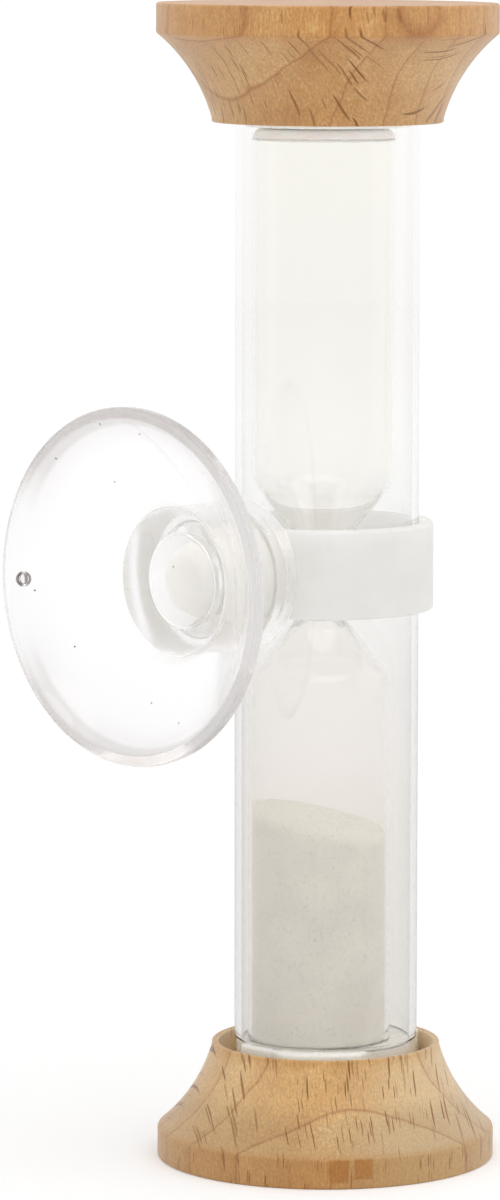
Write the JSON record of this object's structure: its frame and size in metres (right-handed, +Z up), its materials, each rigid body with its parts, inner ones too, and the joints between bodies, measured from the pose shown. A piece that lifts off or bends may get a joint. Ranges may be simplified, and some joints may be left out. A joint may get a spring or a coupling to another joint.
{
  "type": "shower timer",
  "caption": "Sand timer for a shower: a blown sandglass in a clear tube between turned wooden end caps, with a sliding plastic band that carries a clear suction cup on a swivel stud.",
  "frame": {"origin": "centre of the lower cap's flat base, on which the timer stands", "axes": "+Z up along the tube, +Y from the tube out through the suction cup to the wall, +X across"},
  "size_m": [0.04, 0.0519, 0.133],
  "materials": {
    "lower_cap_beech": "turned beech, lightly oiled, satin",
    "upper_cap_beech": "turned beech, lightly oiled, satin",
    "tube_glass": "clear drawn tube, glossy",
    "blown_glass": "clear lamp-worked glass, glossy",
    "stopper": "moulded, satin",
    "sand": "fine dry sand, matte",
    "adhesive": "set clear glue, glossy",
    "milky_plastic": "moulded natural polythene, satin and slightly see-through",
    "clear_vinyl": "soft clear vinyl, glossy"
  },
  "bodies": {
    "timer": {"lower_cap": "lower_cap_beech", "upper_cap": "upper_cap_beech", "outer_tube": "tube_glass", "sandglass": "blown_glass", "filling_plug": "stopper", "sand": "sand", "lower_glue_bed": "adhesive", "upper_glue_bed": "adhesive"},
    "band": {"clip_band": "milky_plastic"},
    "cup": {"suction_cup": "clear_vinyl"}
  },
  "joints": [
    {"name": "band_slide", "type": "slide", "parent": "timer", "child": "band", "axis": [0, 0, 1], "range_m": [-0.0465, 0.0415]},
    {"name": "cup_swivel", "type": "hinge", "parent": "band", "child": "cup", "pos_m": [0, 0, 0.069], "axis": [0, 1, 0], "continuous": true}
  ]
}
